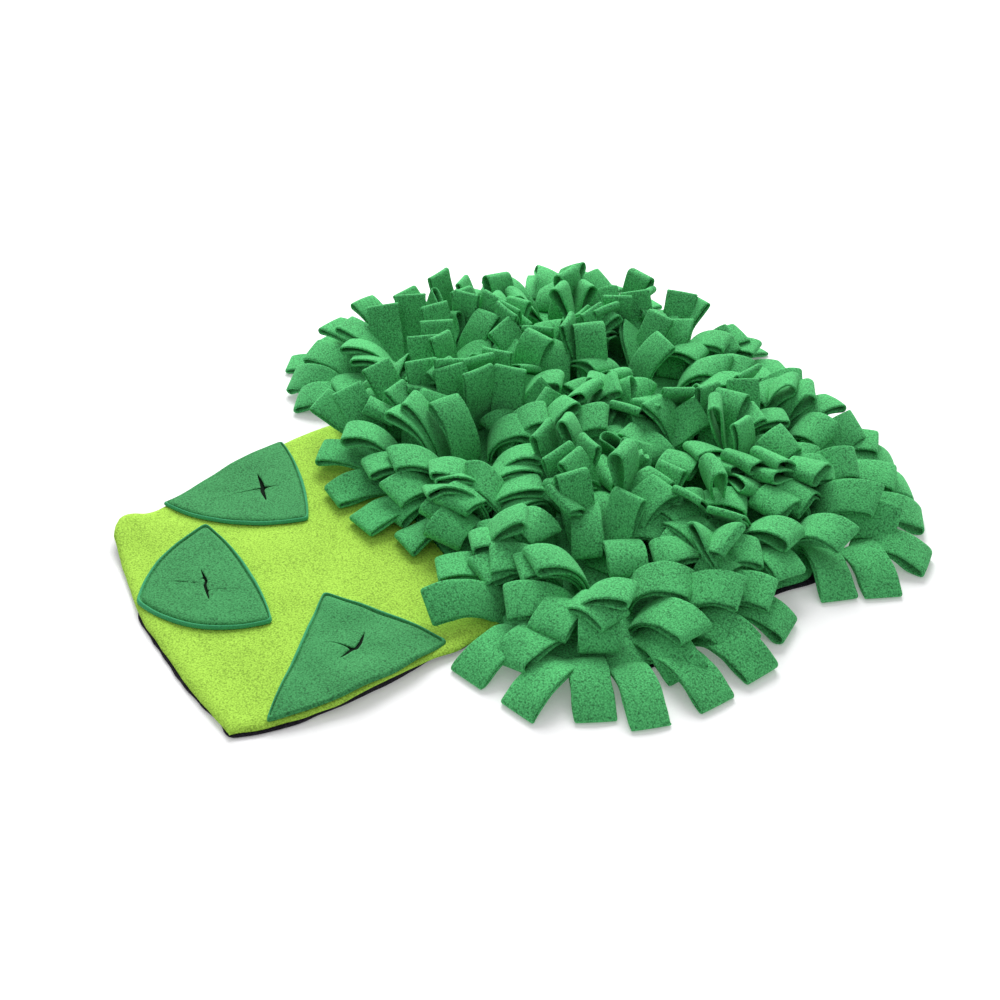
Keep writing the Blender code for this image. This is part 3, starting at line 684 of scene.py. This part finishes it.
def keep_off_ground(flat, radii, free):
    """Lifts what sank into the floor or the panels."""
    pressed = 0.92
    low = ground(flat[:, 0], flat[:, 1]) + radii * pressed
    flat[:, 2] = np.where(free, np.maximum(flat[:, 2], low), flat[:, 2])


def keep_lengths(now, runs, widths):
    """Brings the steps along each loop, and its width, back to what they were."""
    for start in (0, 1):
        a = now[:, start:-1:2]
        b = now[:, start + 1::2]
        between = b - a
        far = np.linalg.norm(between, axis=3, keepdims=True)
        change = 0.5 * (far - runs[:, start::2]) / np.maximum(far, 1e-6) * between
        a += change
        b -= change
    wide = now[:, :, 2] - now[:, :, 0]
    far = np.linalg.norm(wide, axis=2, keepdims=True)
    change = 0.5 * (far - widths) / np.maximum(far, 1e-6) * wide
    now[:, :, 0] += change
    now[:, :, 2] -= change
    middle = 0.5 * (now[:, :, 0] + now[:, :, 2])
    off = 0.5 * (middle - now[:, :, 1])
    now[:, :, 1] += off
    now[:, :, 0] -= off * 0.5
    now[:, :, 2] -= off * 0.5


FOLD_STEPS = 4                             # points round the fold
COLUMNS = (-1.0, -0.90, 0.0, 0.90, 1.0)    # points across the strip
CUT_WAVES = (0.0004, 0.9), (0.0003, 2.1)   # depth and length of the unevenness of a cut edge
LOWEST = 0.0014                            # height of the middle of cloth that lies on the floor


def strip_points(surface, loop, settings, chance):
    """The whole strip: up the upper ply, round the fold and back down the lower ply."""
    line = (surface[:, 0] + surface[:, 1] + surface[:, 2]) / 3.0
    across = surface[:, 2] - surface[:, 0]
    across /= np.linalg.norm(across, axis=1)[:, None]
    along = np.gradient(line, axis=0)
    along -= np.einsum("ij,ij->i", along, across)[:, None] * across
    along /= np.linalg.norm(along, axis=1)[:, None]
    up = np.cross(along, across)
    half = settings.strip_width * loop.width / 2.0
    last = STATIONS - 1
    gaps = [ply_gap(loop, station / last) / 2.0 for station in range(STATIONS)]
    rows = [(station, line[station] + up[station] * gaps[station]) for station in range(STATIONS)]
    for step in range(1, FOLD_STEPS + 1):
        angle = math.pi * step / (FOLD_STEPS + 1)
        rows.append((last, line[last] + gaps[last] * (math.cos(angle) * up[last]
                                                      + math.sin(angle) * along[last])))
    rows += [(station, line[station] - up[station] * gaps[station]) for station in range(last, -1, -1)]
    points = []
    wave = [chance.uniform(0.0, math.tau) for _ in range(4)]
    (deep, long), (shallow, short) = CUT_WAVES
    for row, (station, place) in enumerate(rows):
        share = station / last
        for side in COLUMNS:
            wobble = 0.0
            if abs(side) == 1.0:
                phase = wave[0 if side > 0 else 1]
                wobble = deep * math.sin(phase + row * long) + shallow * math.sin(wave[2] + row * short)
            shift = (half + wobble) * side * across[station]
            bowed = -loop.cup * side * side * up[station]
            slanted = loop.skew * half * side * share ** 2 * along[station]
            x, y, z = place + shift + bowed + slanted
            points.append((x, y, max(z, LOWEST)))
    return np.array(points), len(rows)


# ---------------------------------------------------------------- materials
def new_group(name, inputs, outputs):
    tree = bpy.data.node_groups.new(name, "ShaderNodeTree")
    for socket_name, kind, value in inputs:
        socket = tree.interface.new_socket(socket_name, in_out="INPUT", socket_type=kind)
        if value is not None:
            socket.default_value = value
    for socket_name, kind in outputs:
        tree.interface.new_socket(socket_name, in_out="OUTPUT", socket_type=kind)
    return tree, tree.nodes.new("NodeGroupInput"), tree.nodes.new("NodeGroupOutput")


def maths(tree, operation, first, second=None, third=None):
    node = tree.nodes.new("ShaderNodeMath")
    node.operation = operation
    for socket, value in zip(node.inputs, (first, second, third)):
        if value is None:
            continue
        if isinstance(value, (int, float)):
            socket.default_value = value
        else:
            tree.links.new(value, socket)
    return node.outputs[0]


def mixed(tree, share, first, second):
    """The first colour turning into the second as share goes from 0 to 1."""
    node = tree.nodes.new("ShaderNodeMix")
    node.data_type = "RGBA"
    sockets = [socket for socket in node.inputs if socket.type == "RGBA"]
    tree.links.new(share, node.inputs[0])
    tree.links.new(first, sockets[0])
    tree.links.new(second, sockets[1])
    return next(socket for socket in node.outputs if socket.type == "RGBA")


NAP_CONTRAST = 4.5           # how sharply the nap's shades part
NAP_LEVEL = -3.90            # lower makes more of the nap dark


def nap_group():
    """Curled fleece nap: pebbles with painted shade between them and a painted highlight on their tops, and
    slow patches of lighter and darker nap.
    """
    tree, given, made = new_group(
        "fleece_nap",
        [("Colour", "NodeSocketColor", (0.5, 0.5, 0.5, 1.0)),
         ("Painted Shade Colour", "NodeSocketColor", (0.2, 0.2, 0.2, 1.0)),
         ("Painted Highlight Colour", "NodeSocketColor", (0.8, 0.8, 0.8, 1.0)),
         ("Pebble Scale", "NodeSocketFloat", 700.0),
         ("Patch Scale", "NodeSocketFloat", 30.0)],
        [("Colour", "NodeSocketColor"), ("Height", "NodeSocketFloat")])
    place = tree.nodes.new("ShaderNodeTexCoord").outputs["Object"]
    pebble = tree.nodes.new("ShaderNodeTexVoronoi")
    fuzz, patch = [tree.nodes.new("ShaderNodeTexNoise") for _ in range(2)]
    fill(fuzz, {"Detail": 2.0, "Roughness": 0.65})
    fill(patch, {"Detail": 2.0})
    fuzz_scale = maths(tree, "MULTIPLY", given.outputs["Pebble Scale"], 0.95)
    for texture, scale in ((pebble, given.outputs["Pebble Scale"]), (fuzz, fuzz_scale),
                           (patch, given.outputs["Patch Scale"])):
        tree.links.new(place, texture.inputs["Vector"])
        tree.links.new(scale, texture.inputs["Scale"])
    dome = maths(tree, "MULTIPLY_ADD", pebble.outputs["Distance"], -0.45, 0.72)
    height = maths(tree, "ADD", fuzz.outputs[0], dome)
    tree.links.new(height, made.inputs["Height"])
    level = maths(tree, "MULTIPLY_ADD", patch.outputs[0], 1.0, NAP_LEVEL)
    shade = maths(tree, "MULTIPLY_ADD", height, NAP_CONTRAST, level)
    # The nap's hollows take the painted shade colour and its tops the painted highlight colour.
    low = mixed(tree, shade, given.outputs["Painted Shade Colour"], given.outputs["Colour"])
    high = mixed(tree, maths(tree, "ADD", shade, -1.0), low, given.outputs["Painted Highlight Colour"])
    tree.links.new(high, made.inputs["Colour"])
    return tree


def fill(node, values):
    """Sets the named sockets of a node."""
    for name, value in values.items():
        node.inputs[name].default_value = value


def opaque(colour, factor=1.0, lighter=0.0):
    """A colour made lighter or darker, with its alpha."""
    return (*(min(1.0, part * factor + lighter) for part in colour), 1.0)


def blank_material(name):
    material = bpy.data.materials.new(name)
    material.use_nodes = True
    return material, material.node_tree.nodes["Principled BSDF"]


def fleece(name, colour, pebble, hollow_shade=0.42, tip=1.42, depth=0.0004, sheen=0.40):
    """Fleece of one colour; its nap has painted shade in its hollows and a painted highlight on its
    pebbles' tops, as if lit softly from all sides.
    """
    if name in bpy.data.materials:
        return bpy.data.materials[name]
    material, shader = blank_material(name)
    tree = material.node_tree
    surface = tree.nodes.new("ShaderNodeGroup")
    surface.node_tree = bpy.data.node_groups.get("fleece_nap") or nap_group()
    # Painted nap light: the hollow colour is painted shade and the tip colour is a painted highlight.
    fill(surface, {"Colour": opaque(colour), "Painted Shade Colour": opaque(colour, hollow_shade),
                   "Painted Highlight Colour": opaque(colour, tip, 0.01), "Pebble Scale": 1.0 / pebble})
    bump = tree.nodes.new("ShaderNodeBump")
    fill(bump, {"Strength": 0.7, "Distance": depth})
    tree.links.new(surface.outputs["Height"], bump.inputs["Height"])
    tree.links.new(surface.outputs["Colour"], shader.inputs["Base Color"])
    tree.links.new(bump.outputs["Normal"], shader.inputs["Normal"])
    fill(shader, {"Roughness": 0.95, "Specular IOR Level": 0.15, "Sheen Weight": sheen,
                  "Sheen Roughness": 0.55, "Sheen Tint": opaque(colour, 1.2, 0.10)})
    material.diffuse_color = (*colour, 1.0)
    return material


def green_fleece(context):
    cloth = context.scene.mat_cloth
    return fleece("green_nap", cloth.green, cloth.pebble)


def leaf_fleece_painted_shade(context):
    cloth = context.scene.mat_cloth
    # Painted shade: the leaves are the loops' green fleece, darkened to 0.64 of it and given a softer nap.
    return fleece("leaf_nap", [part * 0.64 for part in cloth.green], cloth.pebble, hollow_shade=0.50, tip=1.30)


def rim_fleece(context):
    cloth = context.scene.mat_cloth
    red, green, blue = cloth.green
    return fleece("pressed_green_nap", (red * 0.66, green * 0.80, blue * 1.05), cloth.pebble * 0.6,
                  hollow_shade=0.75, tip=1.2, depth=0.0002)


def pocket_shade_material():
    """Near-black green painted shade for the pocket's inside, where only shade shows through the cut."""
    name = "pocket_inside"
    if name in bpy.data.materials:
        return bpy.data.materials[name]
    material, shader = blank_material(name)
    # Painted shade: near-black green standing in for the dark inside the pocket.
    fill(shader, {"Base Color": (0.004, 0.012, 0.006, 1.0), "Roughness": 1.0, "Specular IOR Level": 0.1})
    return material


# ---------------------------------------------------------------- operators
class SNUFFLE_OT_backing(bpy.types.Operator):
    """Cut the non-slip backing and lay it under the mat"""
    bl_idname = "snuffle.backing"
    bl_label = "Backing"
    bl_options = {"REGISTER", "UNDO"}

    def execute(self, context):
        outline = smoothed(resampled(whole_outline(), 0.003, True), 2)
        middle = np.array([0.0, -0.03])
        shows = [backing_shows(x, y) for x, y in outline]
        out = np.array([stands + 0.0007 * swell(x, y, 0.009, 21.0)
                        for (stands, _), (x, y) in zip(shows, outline)])
        points, faces = fan(outline, middle, BACKING_RINGS, 7, lambda x, y, z: z + lift(x, y),
                            grow=out[:, None])
        for index, (_, hangs) in enumerate(shows):
            x, y, z = points[index]
            points[index] = (x, y, z - hangs * lift(x, y))
        cloth = context.scene.mat_cloth
        material = fleece("backing_weave", cloth.black, 0.0011,
                          hollow_shade=0.5, tip=1.8, depth=0.0003, sheen=0.15)
        piece = cloth_object("backing_cloth", points, faces, [material], 0.00144, -1.0, levels=0)
        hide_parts("backing")
        return {"FINISHED"}


def backing_shows(x, y):
    """How far the backing stands out at a place of its edge, and how much it hangs."""
    total = 0.01
    stands, hangs = BACKING_STANDS * total, total
    for near_x, near_y, mm, down in BACKING_SHOWS:
        share = math.exp(-((x - near_x) ** 2 + (y - near_y) ** 2) / SHOWS_REACH ** 2)
        stands += share * mm / 1000.0
        hangs += share * down
        total += share
    return stands / total, hangs / total


def fan(outline, centre, rings, inner, lie, grow=0.0, hole=None):
    """A sheet made of rings that follow its outline inwards to its centre, or to the edge of a hole."""
    points, faces = [], []
    count = len(outline)
    outward = outline - centre
    far = np.linalg.norm(outward, axis=1)[:, None]
    outward = outward / far
    last = rings[-1]
    start = outline + outward * (grow - last[0])
    rows = [(outline + outward * (grow - inset), height) for inset, height in rings]
    end = np.repeat(centre[None], count, axis=0) if hole is None else hole
    for step in range(1, inner + 1):
        share = step / inner
        if hole is None:
            share *= 0.93      # the last ring stays open round the middle point
        rows.append((start + (end - start) * share, last[1]))
    for row, height in rows:
        for x, y in row:
            points.append((x, y, lie(x, y, height)))
    faces = grid_faces(len(rows), count, closed=True)
    if hole is None:
        points.append((*centre, lie(*centre, last[1])))
        base = (len(rows) - 1) * count
        faces += [(base + i, base + (i + 1) % count, len(points) - 1) for i in range(count)]
    return points, faces


class SNUFFLE_OT_crown_panel(bpy.types.Operator):
    """Lay the fleece that the florets are sewn to"""
    bl_idname = "snuffle.crown_panel"
    bl_label = "Crown panel"
    bl_options = {"REGISTER", "UNDO"}

    def execute(self, context):
        outline = resampled(crown_outline(CROWN_MARGIN), 0.004, True)
        out = np.array([max(0.0, CROWN_FOLLOWS * backing_shows(x, y)[0] - BACKING_STANDS)
                        for x, y in outline])
        points, faces = fan(outline, CENTRES.mean(axis=0), CROWN_RINGS, 8, lambda x, y, z: z,
                            grow=out[:, None])
        piece = cloth_object("crown_fleece", points, faces, [green_fleece(context)],
                             context.scene.mat_cloth.fleece_thick * 0.8, -1.0, levels=0)
        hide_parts("crown_panel")
        return {"FINISHED"}


def spaced(count, near):
    """Shares from 0 to 1 that crowd towards both ends."""
    even = np.linspace(0.0, 1.0, count)
    return even - near * np.sin(even * math.tau) / math.tau


def stalk_grid(columns, rows):
    """Points of the stalk between its four edges, from the cut end to the crown."""
    edge = np.array(STALK_EDGE)
    step = 0.002
    right = resampled(edge[:RIGHT_CORNER + 1][::-1], step, False)
    left = resampled(edge[LEFT_CORNER:], step, False)
    low = resampled(edge[RIGHT_CORNER:LEFT_CORNER + 1][::-1], step, False)
    crown = [p for p in crown_outline(CROWN_MARGIN + 0.0004)
             if left[-1, 0] < p.x < right[-1, 0] and p.y < 0.0]
    crown.sort(key=lambda p: p.x)
    high = resampled([left[-1]] + crown + [right[-1]], step, False)

    def at(line, share):
        place = np.linspace(0.0, 1.0, len(line))
        return np.array([np.interp(share, place, line[:, 0]), np.interp(share, place, line[:, 1])])

    grid = np.zeros((rows, columns, 2))
    ups = spaced(rows, 0.75)
    overs = spaced(columns, 0.85)
    for i, v in enumerate(ups):
        for j, u in enumerate(overs):
            sides = (1.0 - u) * at(left, v) + u * at(right, v)
            ends = (1.0 - v) * at(low, u) + v * at(high, u)
            corners = ((1.0 - u) * (1.0 - v) * low[0] + u * (1.0 - v) * low[-1]
                       + (1.0 - u) * v * high[0] + u * v * high[-1])
            x, y = sides + ends - corners
            grid[i, j] = x + 0.0008 * swell(x, y, 0.011, 31.0), y + 0.0008 * swell(x, y, 0.011, 37.0)
    return grid


class SNUFFLE_OT_stalk_panel(bpy.types.Operator):
    """Sew the lime fleece of the stalk down along its sides and cut end"""
    bl_idname = "snuffle.stalk_panel"
    bl_label = "Stalk panel"
    bl_options = {"REGISTER", "UNDO"}

    def execute(self, context):
        rows, columns = 60, 64
        grid = stalk_grid(columns, rows)
        points = []
        for i in range(rows):
            for j in range(columns):
                x, y = grid[i, j]
                seams = grid[i, 0], grid[i, -1], grid[0, j]
                edge = min(np.linalg.norm(grid[i, j] - seam) for seam in seams)
                dip = SEAM_DIP * math.exp(-edge / SEAM_WIDTH)
                puff = PUFF * math.exp(-((edge - PUFF_INSET) / PUFF_WIDTH) ** 2)
                points.append((x, y, panel_lie(x, y) + puff - dip))
        cloth = context.scene.mat_cloth
        material = fleece("lime_nap", cloth.lime, cloth.pebble, hollow_shade=0.60, tip=1.25, sheen=0.20)
        piece = cloth_object("stalk_fleece", points, grid_faces(rows, columns), [material],
                             0.0019, -1.0)
        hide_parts("stalk_panel")
        return {"FINISHED"}


def leaf_outline(corners, bows, flush, spacing):
    """Points round the leaf, and whether its rim shows at each."""
    points, rims = [], []
    for number, (corner, following, bow) in enumerate(zip(corners, corners[1:] + corners[:1], bows)):
        a, b = np.array(corner), np.array(following)
        side = b - a
        outward = np.array([side[1], -side[0]]) / np.linalg.norm(side)
        steps = max(3, round(np.linalg.norm(side) / spacing))
        for step in range(steps):
            part = step / steps
            points.append(a + part * side + 4.0 * bow * part * (1.0 - part) * outward)
            rims.append(number != flush)
    return np.array(points), rims


def cut_outline(open_arm, gape, tips, outline):
    """The cut across the leaf: one point facing each point of the leaf's outline."""
    path = np.array(open_arm)
    middle = (path[0] + path[-1]) / 2.0
    along = (path[-1] - path[0]) / np.linalg.norm(path[-1] - path[0])
    across = np.array([-along[1], along[0]])
    places = (path - middle) @ along / np.linalg.norm(path[-1] - middle)
    ring, facings = [], []
    for point in outline:
        towards = point - middle
        facing = math.atan2(towards @ across, towards @ along)
        reach = math.cos(facing)
        centre = np.array([np.interp(reach, places, path[:, axis]) for axis in (0, 1)])
        half = gape * (1.0 - reach * reach) ** 0.9 * math.copysign(1.0, math.sin(facing))
        ring.append(centre + across * half)
        facings.append(facing)
    for tip in tips:
        towards = np.array(tip) - middle
        facing = math.atan2(towards @ across, towards @ along)
        nearest = min(range(len(facings)), key=lambda index: abs(facings[index] - facing))
        base = ring[nearest]
        for index in (nearest - 1, (nearest + 1) % len(ring)):
            away = ring[index] - base
            ring[index] = base + away * min(1.0, 0.0003 / np.linalg.norm(away))
        ring[nearest] = base + (np.array(tip) - base) / 0.75     # subdividing takes a quarter off it
    return np.array(ring), middle


class SNUFFLE_OT_leaf_pockets(bpy.types.Operator):
    """Sew the three leaf pockets to the stalk and cut them across"""
    bl_idname = "snuffle.leaf_pockets"
    bl_label = "Leaf pockets"
    bl_options = {"REGISTER", "UNDO"}

    def execute(self, context):
        spacing = 0.0026
        for name, corners, bows, flush in LEAVES:
            outline, rims = leaf_outline(corners, bows, flush, spacing)
            outline = smoothed(outline, 1)
            open_arm, gape, tips, uneven = CUTS[name]
            hole, middle = cut_outline(open_arm, gape, tips, outline)
            points, faces = fan(
                outline, middle, LEAF_RINGS, 9,
                lambda x, y, z: panel_lie(x, y) + z + uneven * swell(x, y, 0.022, 5.0), hole=hole)
            count = len(outline)
            for index in range(count * LEAF_SEAM_RINGS):
                if not rims[index % count]:
                    x, y, z = points[index]
                    inset, level = LEAF_RINGS[index // count]
                    pressed = 0.0029 - 0.0022 * math.exp(-inset / 0.0008)
                    points[index] = (x, y, z - level + pressed)
            on_rim = [1 if index // count < LEAF_RIM_RINGS and rims[index % count] else 0
                      for index in range(len(faces))]
            fleeces = [leaf_fleece_painted_shade(context), rim_fleece(context)]
            piece = cloth_object(name + "_fleece", points, faces, fleeces,
                                 0.0015, -1.0, on_rim)
            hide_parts(name)
            # The pocket's inside is a sheet of painted shade.
            inside = pocket_inside(name, middle, open_arm)
        return {"FINISHED"}


def pocket_inside(name, middle, open_arm):
    """A sheet of painted shade under the cut: the darkness seen through the cut into the pocket."""
    along = np.array(open_arm[-1]) - middle
    across = np.array([-along[1], along[0]])
    rows, sides = 9, (-1.0, 0.0, 1.0)
    points = []
    for share in np.linspace(-1.1, 1.1, rows):
        for side in sides:
            x, y = middle + along * share + across * side
            points.append((x, y, panel_lie(x, y) + 0.0008))
    return cloth_object(name + "_inside", points, grid_faces(rows, len(sides)), [pocket_shade_material()],
                        0.0005, -1.0)


class SNUFFLE_OT_florets(bpy.types.Operator):
    """Fold the strips, sew them down ring by ring and let them settle on each other"""
    bl_idname = "snuffle.florets"
    bl_label = "Florets"
    bl_options = {"REGISTER", "UNDO"}

    def execute(self, context):
        settings = context.scene.mat_loops
        loops = planned_loops(settings)
        settled = settle(np.array([rest_surface(loop, settings) for loop in loops]), loops, settings)
        chance = random.Random(settings.seed + 100)
        for floret in [row[0] for row in FLORETS] + ["between"]:
            points, faces = [], []
            for loop, surface in zip(loops, settled):
                if loop.group != floret:
                    continue
                strip, rows = strip_points(surface, loop, settings, chance)
                faces += grid_faces(rows, len(COLUMNS), first=len(points))
                points.extend(strip)
            piece = cloth_object(floret + "_loops", points, faces, [green_fleece(context)],
                                 context.scene.mat_cloth.fleece_thick, 0.0)
            if floret != "between":
                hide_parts(floret + "_outer", floret + "_middle", floret + "_inner")
        return {"FINISHED"}


class SNUFFLE_OT_stage(bpy.types.Operator):
    """Set up the white floor, the soft light and the camera"""
    bl_idname = "snuffle.stage"
    bl_label = "Stage"
    bl_options = {"REGISTER", "UNDO"}

    def execute(self, context):
        scene = context.scene
        stage = scene.mat_stage
        floor_mesh = bpy.data.meshes.new("floor")
        shape = bmesh.new()
        bmesh.ops.create_grid(shape, x_segments=1, y_segments=1, size=6.0)
        shape.to_mesh(floor_mesh)
        shape.free()
        floor = placed("floor", floor_mesh)
        material, shader = blank_material("white_floor")
        fill(shader, {"Base Color": (0.84, 0.84, 0.85, 1.0), "Roughness": 0.9, "Specular IOR Level": 0.1,
                      "Emission Color": (1.0, 1.0, 1.0, 1.0), "Emission Strength": 0.16})
        floor_mesh.materials.append(material)

        world = bpy.data.worlds.new("surround")
        world.use_nodes = True
        fill(world.node_tree.nodes["Background"],
             {"Color": (1.0, 1.0, 1.0, 1.0), "Strength": stage.surround})
        scene.world = world

        light = bpy.data.lights.new("softbox", "AREA")
        light.shape = "SQUARE"
        light.size = SOFTBOX_SIZE
        light.energy = stage.softbox
        softbox = placed("softbox", light, SOFTBOX_PLACE)
        softbox.rotation_euler = (-softbox.location).to_track_quat("-Z", "Y").to_euler()

        lens = bpy.data.cameras.new("camera")
        lens.lens = CAMERA_LENS
        lens.sensor_width = 36.0
        camera = placed("camera", lens, CAMERA_PLACE)
        camera.rotation_euler = (math.radians(55.0), 0.0, math.radians(55.0))
        scene.camera = camera
        scene.view_settings.view_transform = "Standard"
        return {"FINISHED"}


class SNUFFLE_PT_mat(bpy.types.Panel):
    """Buttons and settings of the mat"""
    bl_label = "Snuffle Mat"
    bl_idname = "SNUFFLE_PT_mat"
    bl_space_type = "VIEW_3D"
    bl_region_type = "UI"
    bl_category = "Snuffle Mat"

    def draw(self, context):
        layout = self.layout
        for group in (context.scene.mat_cloth, context.scene.mat_loops, context.scene.mat_stage):
            box = layout.box()
            for name in group.__annotations__:
                box.prop(group, name)
        for operator in OPERATORS:
            layout.operator(operator.bl_idname)


OPERATORS = (SNUFFLE_OT_backing, SNUFFLE_OT_stalk_panel, SNUFFLE_OT_leaf_pockets, SNUFFLE_OT_crown_panel,
             SNUFFLE_OT_florets, SNUFFLE_OT_stage)
SETTINGS = {"mat_cloth": ClothSettings, "mat_loops": LoopSettings, "mat_stage": StageSettings}


def register():
    for name, group in SETTINGS.items():
        bpy.utils.register_class(group)
        setattr(bpy.types.Scene, name, PointerProperty(type=group))
    for made_class in (*OPERATORS, SNUFFLE_PT_mat):
        bpy.utils.register_class(made_class)


def unregister():
    for made_class in (SNUFFLE_PT_mat, *reversed(OPERATORS)):
        bpy.utils.unregister_class(made_class)
    for name, group in SETTINGS.items():
        delattr(bpy.types.Scene, name)
        bpy.utils.unregister_class(group)


def main():
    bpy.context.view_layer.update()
    register()
    bpy.ops.snuffle.backing()
    bpy.ops.snuffle.stalk_panel()
    bpy.ops.snuffle.leaf_pockets()
    bpy.ops.snuffle.crown_panel()
    bpy.ops.snuffle.florets()
    bpy.ops.snuffle.stage()


if __name__ == "__main__":
    main()
